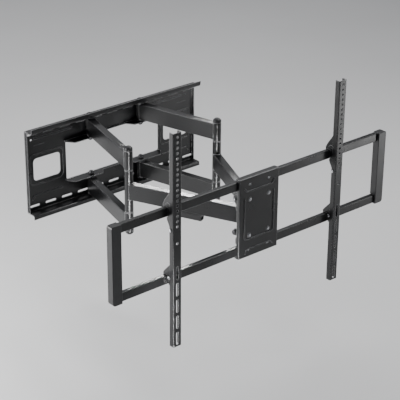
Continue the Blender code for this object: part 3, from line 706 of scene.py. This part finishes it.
def arm_details():
    for side, hand in SIDES:
        for level, row in ROWS:
            first_arm_details(side, hand, level, row)
        second_arm_details(side, hand)
        for level, end_name in ((1, "top"), (-1, "bottom")):
            elbow_cap(side, hand, level, end_name)


CLIP_RIB_X = (-0.0111, 0.0111)
CLIP_RIB_Y = (-0.2375, -0.2250, -0.2060, -0.1870, -0.1745)
CLIP_RIB_Z = (-0.0295, -0.0405)


def clip_ribs():
    """Fine grip ribs along both sides of the cable clip."""
    bm = bmesh.new()
    for x in CLIP_RIB_X:
        for z in CLIP_RIB_Z:
            ribbon(bm, [Vector((x, y, z)) for y in CLIP_RIB_Y], BEAD_RADIUS)
    name, body = "cable_clip_ribs", "second_arm_body_left"
    add_piece(name, bm, body, "black_plastic", second_arm_place(-1))


# Screen plate: pressed ridges, plate screws and rail rivets.

TRAY_RIDGES = [
    (
        [(0.0555, 0.0700), (0.0555, -0.0570), (-0.0550, -0.0570), (-0.0550, 0.0700)],
        {"width": 0.0050, "height": 0.0024, "corner": 0.009},
    ),
    (
        [(-0.0560, 0.1030), (-0.0480, 0.0920), (0.0450, 0.0920), (0.0570, 0.1060)],
        {"width": 0.0046, "height": 0.0022, "corner": 0.007},
    ),
    (
        [(-0.0510, -0.1020), (-0.0440, -0.0890), (0.0460, -0.0890), (0.0560, -0.0990)],
        {"width": 0.0036, "height": 0.0012, "corner": 0.007},
    ),
]

PLATE_SCREW_X = 0.036
PLATE_SCREW_Z = 0.056
PLATE_SCREW_FRONT_Y = TRAY_FACE_Y - 0.0003
PLATE_SCREW_SHANK = [
    (0.0, PLATE_SCREW_FRONT_Y),
    (0.0029, PLATE_SCREW_FRONT_Y),
    (0.0029, -0.6722),
    (0.0024, -0.6718),
    (0.0, -0.6718),
]
# The pressed seat round a plate screw, as (radius, distance in front of or behind the face).
PLATE_SCREW_SEAT = [
    (0.0034, -0.0002),
    (0.0062, -0.0002),
    (0.0072, 0.0001),
    (0.0062, 0.0002),
    (0.0034, 0.0002),
]
RIVET_X = 0.036
RIVET = [
    (0.0, -0.6700),
    (0.0027, -0.6700),
    (0.0027, -0.6766),
    (0.0021, -0.6775),
    (0.0010, -0.6779),
    (0.0, -0.6780),
]


def tray_ridges():
    bm = bmesh.new()
    for path, shape in TRAY_RIDGES:
        ridge(bm, path, face_y=TRAY_FACE_Y, **shape)
    add_piece("screen_plate_ridges", bm, "screen_frame", "black_powder_coat")


def plate_screw(name, centre):
    bm = bmesh.new()
    socket_head(
        bm,
        radius=0.0041,
        height=0.0028,
        socket=0.0021,
        axis="y",
        centre=centre,
        base=PLATE_SCREW_FRONT_Y,
        out=-1.0,
    )
    lathe(bm, PLATE_SCREW_SHANK, centre, "y", segments=24)
    piece = add_piece(f"{name}_head", bm, "screen_frame", "zinc_steel")
    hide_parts(name)
    bm = bmesh.new()
    seat = [(r, TRAY_FACE_Y + y) for r, y in PLATE_SCREW_SEAT]
    lathe(bm, seat, centre, "y", segments=40)
    add_piece(f"{name}_seat", bm, "screen_frame", "black_powder_coat")


def plate_screws():
    for side, hand in SIDES:
        for level, row in reversed(ROWS):
            centre = (side * PLATE_SCREW_X, FRAME_Z + level * PLATE_SCREW_Z + MIDDLE_Z)
            plate_screw(f"plate_screw_{row}_{hand}", centre)


def rail_rivets():
    for level, row in ROWS:
        bm = bmesh.new()
        for side, _ in SIDES:
            centre = (side * RIVET_X, FRAME_Z + level * RAIL_OFFSET + MIDDLE_Z)
            lathe(bm, RIVET, centre, "y", segments=28)
        add_piece(f"rail_rivets_{row}", bm, "screen_frame", "zinc_steel")


# Head: grips of the tilt nuts and heads of the stop bolts. X is for the right-hand side.

TILT_KNOB = [
    (0.0044, 0.0664),
    (0.0077, 0.0664),
    (0.0081, 0.0690),
    (0.0077, 0.0750),
    (0.0066, 0.0764),
    (0.0052, 0.0767),
    (0.0044, 0.0767),
]
TILT_KNOB_END_X = 0.0764
GRIP_RIBS = 18
GRIP_RIB_RADIUS = 0.0076
GRIP_RIB_X = (0.0682, 0.0700, 0.0730, 0.0748)
STOP_BOLT_X = 0.0665
STOP_BOLT_CENTRE = (-0.652, 0.066 + MIDDLE_Z)


def tilt_nut(side, hand):
    centre = (TILT_AXIS[0], TILT_AXIS[1] + MIDDLE_Z)
    bm = bmesh.new()
    lathe(bm, [(r, side * x) for r, x in TILT_KNOB], centre, "x")
    for step in range(GRIP_RIBS):
        turn = 2 * math.pi * step / GRIP_RIBS
        points = [turned_point("x", centre, GRIP_RIB_RADIUS, turn, side * x) for x in GRIP_RIB_X]
        ribbon(bm, [Vector(point) for point in points], BEAD_RADIUS)
    add_piece(f"tilt_nut_{hand}_grip", bm, "tilt", "black_steel")
    bm = bmesh.new()
    socket_head(
        bm,
        radius=0.0043,
        height=0.0004,
        socket=0.0022,
        axis="x",
        centre=centre,
        base=side * TILT_KNOB_END_X,
        out=side,
    )
    add_piece(f"tilt_nut_{hand}_end", bm, "tilt", "black_steel")


def stop_bolt(side, hand):
    bm = bmesh.new()
    socket_head(
        bm,
        radius=0.0051,
        height=0.0048,
        socket=0.0020,
        axis="x",
        centre=STOP_BOLT_CENTRE,
        base=side * STOP_BOLT_X,
        out=side,
    )
    add_piece(f"stop_bolt_{hand}_head", bm, "tilt", "black_steel")


def head_details():
    for side, hand in SIDES:
        tilt_nut(side, hand)
        stop_bolt(side, hand)


# Screen brackets: the pressed line round each hook.

BRACKET_X = (("left", -0.3135), ("right", 0.3015))
BRACKET_HALF_WIDTH = 0.0145
HOOK_LINE_OFFSET = 0.0001
HOOK_LINE_RADIUS = 0.0105
HOOK_LINE_CENTRE = (-0.6740, 0.1300)
HOOK_LINE_DEGREES = (10, 140)
HOOK_LINE_STEPS = 14


def bracket_details():
    first, last = HOOK_LINE_DEGREES
    for hand, x in BRACKET_X:
        bm = bmesh.new()
        for side, _ in SIDES:
            points = []
            for step in range(HOOK_LINE_STEPS + 1):
                turn = math.radians(first + (last - first) * step / HOOK_LINE_STEPS)
                along = x + side * (BRACKET_HALF_WIDTH + HOOK_LINE_OFFSET)
                y, z = HOOK_LINE_CENTRE[0], HOOK_LINE_CENTRE[1] + MIDDLE_Z
                points.append(Vector(turned_point("x", (y, z), HOOK_LINE_RADIUS, turn, along)))
            ribbon(bm, points, BEAD_RADIUS)
        name, body = f"screen_bracket_{hand}_hook_lines", f"bracket_{hand}"
        add_piece(name, bm, body, "black_powder_coat")


wall_ridges()
slot_rims()
shoulder_fasteners()
arm_details()
clip_ribs()
tray_ridges()
plate_screws()
rail_rivets()
head_details()
bracket_details()


# Stage, light and camera.

CAMERA_PLACE = Vector((-2.5259, -3.3476, 1.6629))
CAMERA_TARGET = Vector((0.0634, -0.3500, -0.1836))
CAMERA_ROLL = math.radians(0.42)
FIELD_OF_VIEW = math.radians(15.8256)
CLIP_END = 60.0
FLOOR_Z = -0.62
FLOOR_SIZE = 40
WORLD_COLOUR = (0.92, 0.94, 1.0, 1.0)
WORLD_STRENGTH = 0.22

# Rectangular lights: name, place, target, size, power and spread in degrees.
# The strips with a narrow spread draw the highlights on the elbow posts and on the second arm.
WIDE = 180.0
LIGHTS = [
    ("left_bank", (-2.7, 1.5, 0.35), (-0.2, -0.4, -0.1), (1.1, 1.9), 76, WIDE),
    ("left_floor", (-1.45, 0.25, 0.30), (-1.25, 0.20, -0.62), (0.8, 1.4), 26, WIDE),
    ("left_post_strip", (-0.543, -1.019, -0.456), (-0.17, -0.31, -0.10), (0.05, 0.28), 0.28, 20.0),
    ("right_post_strip", (-0.310, -0.950, -0.456), (0.17, -0.31, -0.10), (0.05, 0.28), 0.19, 20.0),
    ("arm_top_strip", (0.425, 0.148, 0.294), (-0.10, -0.485, -0.075), (0.34, 0.06), 0.032, 8.0),
    ("edge_light", (1.25, -0.60, 1.60), (0.0, -0.60, -0.10), (1.6, 0.4), 26, WIDE),
    ("back_bank", (1.7, 2.3, 1.7), (0.0, -0.4, -0.1), (2.4, 0.8), 6, WIDE),
    ("overhead", (0.5, 1.3, 3.2), (0.2, 0.8, -0.6), (3.0, 3.0), 66, WIDE),
    ("right_strip", (1.45, -1.65, -0.33), (0.35, -0.6, -0.05), (0.35, 0.5), 4.0, WIDE),
]


def stage_material():
    material, nodes, links, shader = new_material("pale_floor")
    coords = nodes.new("ShaderNodeTexCoord").outputs["Object"]
    soft = noise_node(nodes, links, coords, scale=0.8)
    links.new(ramp_node(nodes, links, soft, [(0.3, 0.72), (0.7, 0.77)]), shader.inputs["Base Color"])
    shader.inputs["Roughness"].default_value = 0.9
    return material


def add_floor():
    bpy.ops.mesh.primitive_plane_add(size=FLOOR_SIZE, location=(0, 0, FLOOR_Z))
    floor = bpy.context.object
    floor.name = "floor"
    floor.data.materials.append(stage_material())


def add_light(name, place, target, size, power, spread):
    data = bpy.data.lights.new(name, "AREA")
    data.shape = "RECTANGLE"
    data.size, data.size_y = size
    data.energy = power
    data.spread = math.radians(spread)
    light = bpy.data.objects.new(name, data)
    light.location = place
    light.visible_camera = False
    light.rotation_euler = (Vector(target) - Vector(place)).to_track_quat("-Z", "Y").to_euler()
    bpy.context.scene.collection.objects.link(light)


def add_camera():
    data = bpy.data.cameras.new("camera")
    data.sensor_fit = "HORIZONTAL"
    data.angle = FIELD_OF_VIEW
    data.clip_end = CLIP_END
    camera = bpy.data.objects.new("camera", data)
    look = (CAMERA_TARGET - CAMERA_PLACE).to_track_quat("-Z", "Y").to_matrix().to_4x4()
    camera.matrix_world = Matrix.Translation(CAMERA_PLACE) @ look @ Matrix.Rotation(CAMERA_ROLL, 4, "Z")
    bpy.context.scene.collection.objects.link(camera)
    bpy.context.scene.camera = camera


def add_world():
    world = bpy.data.worlds.new("studio")
    world.use_nodes = True
    background = world.node_tree.nodes["Background"]
    background.inputs["Color"].default_value = WORLD_COLOUR
    background.inputs["Strength"].default_value = WORLD_STRENGTH
    bpy.context.scene.world = world


add_world()
add_floor()
for light in LIGHTS:
    add_light(*light)
add_camera()
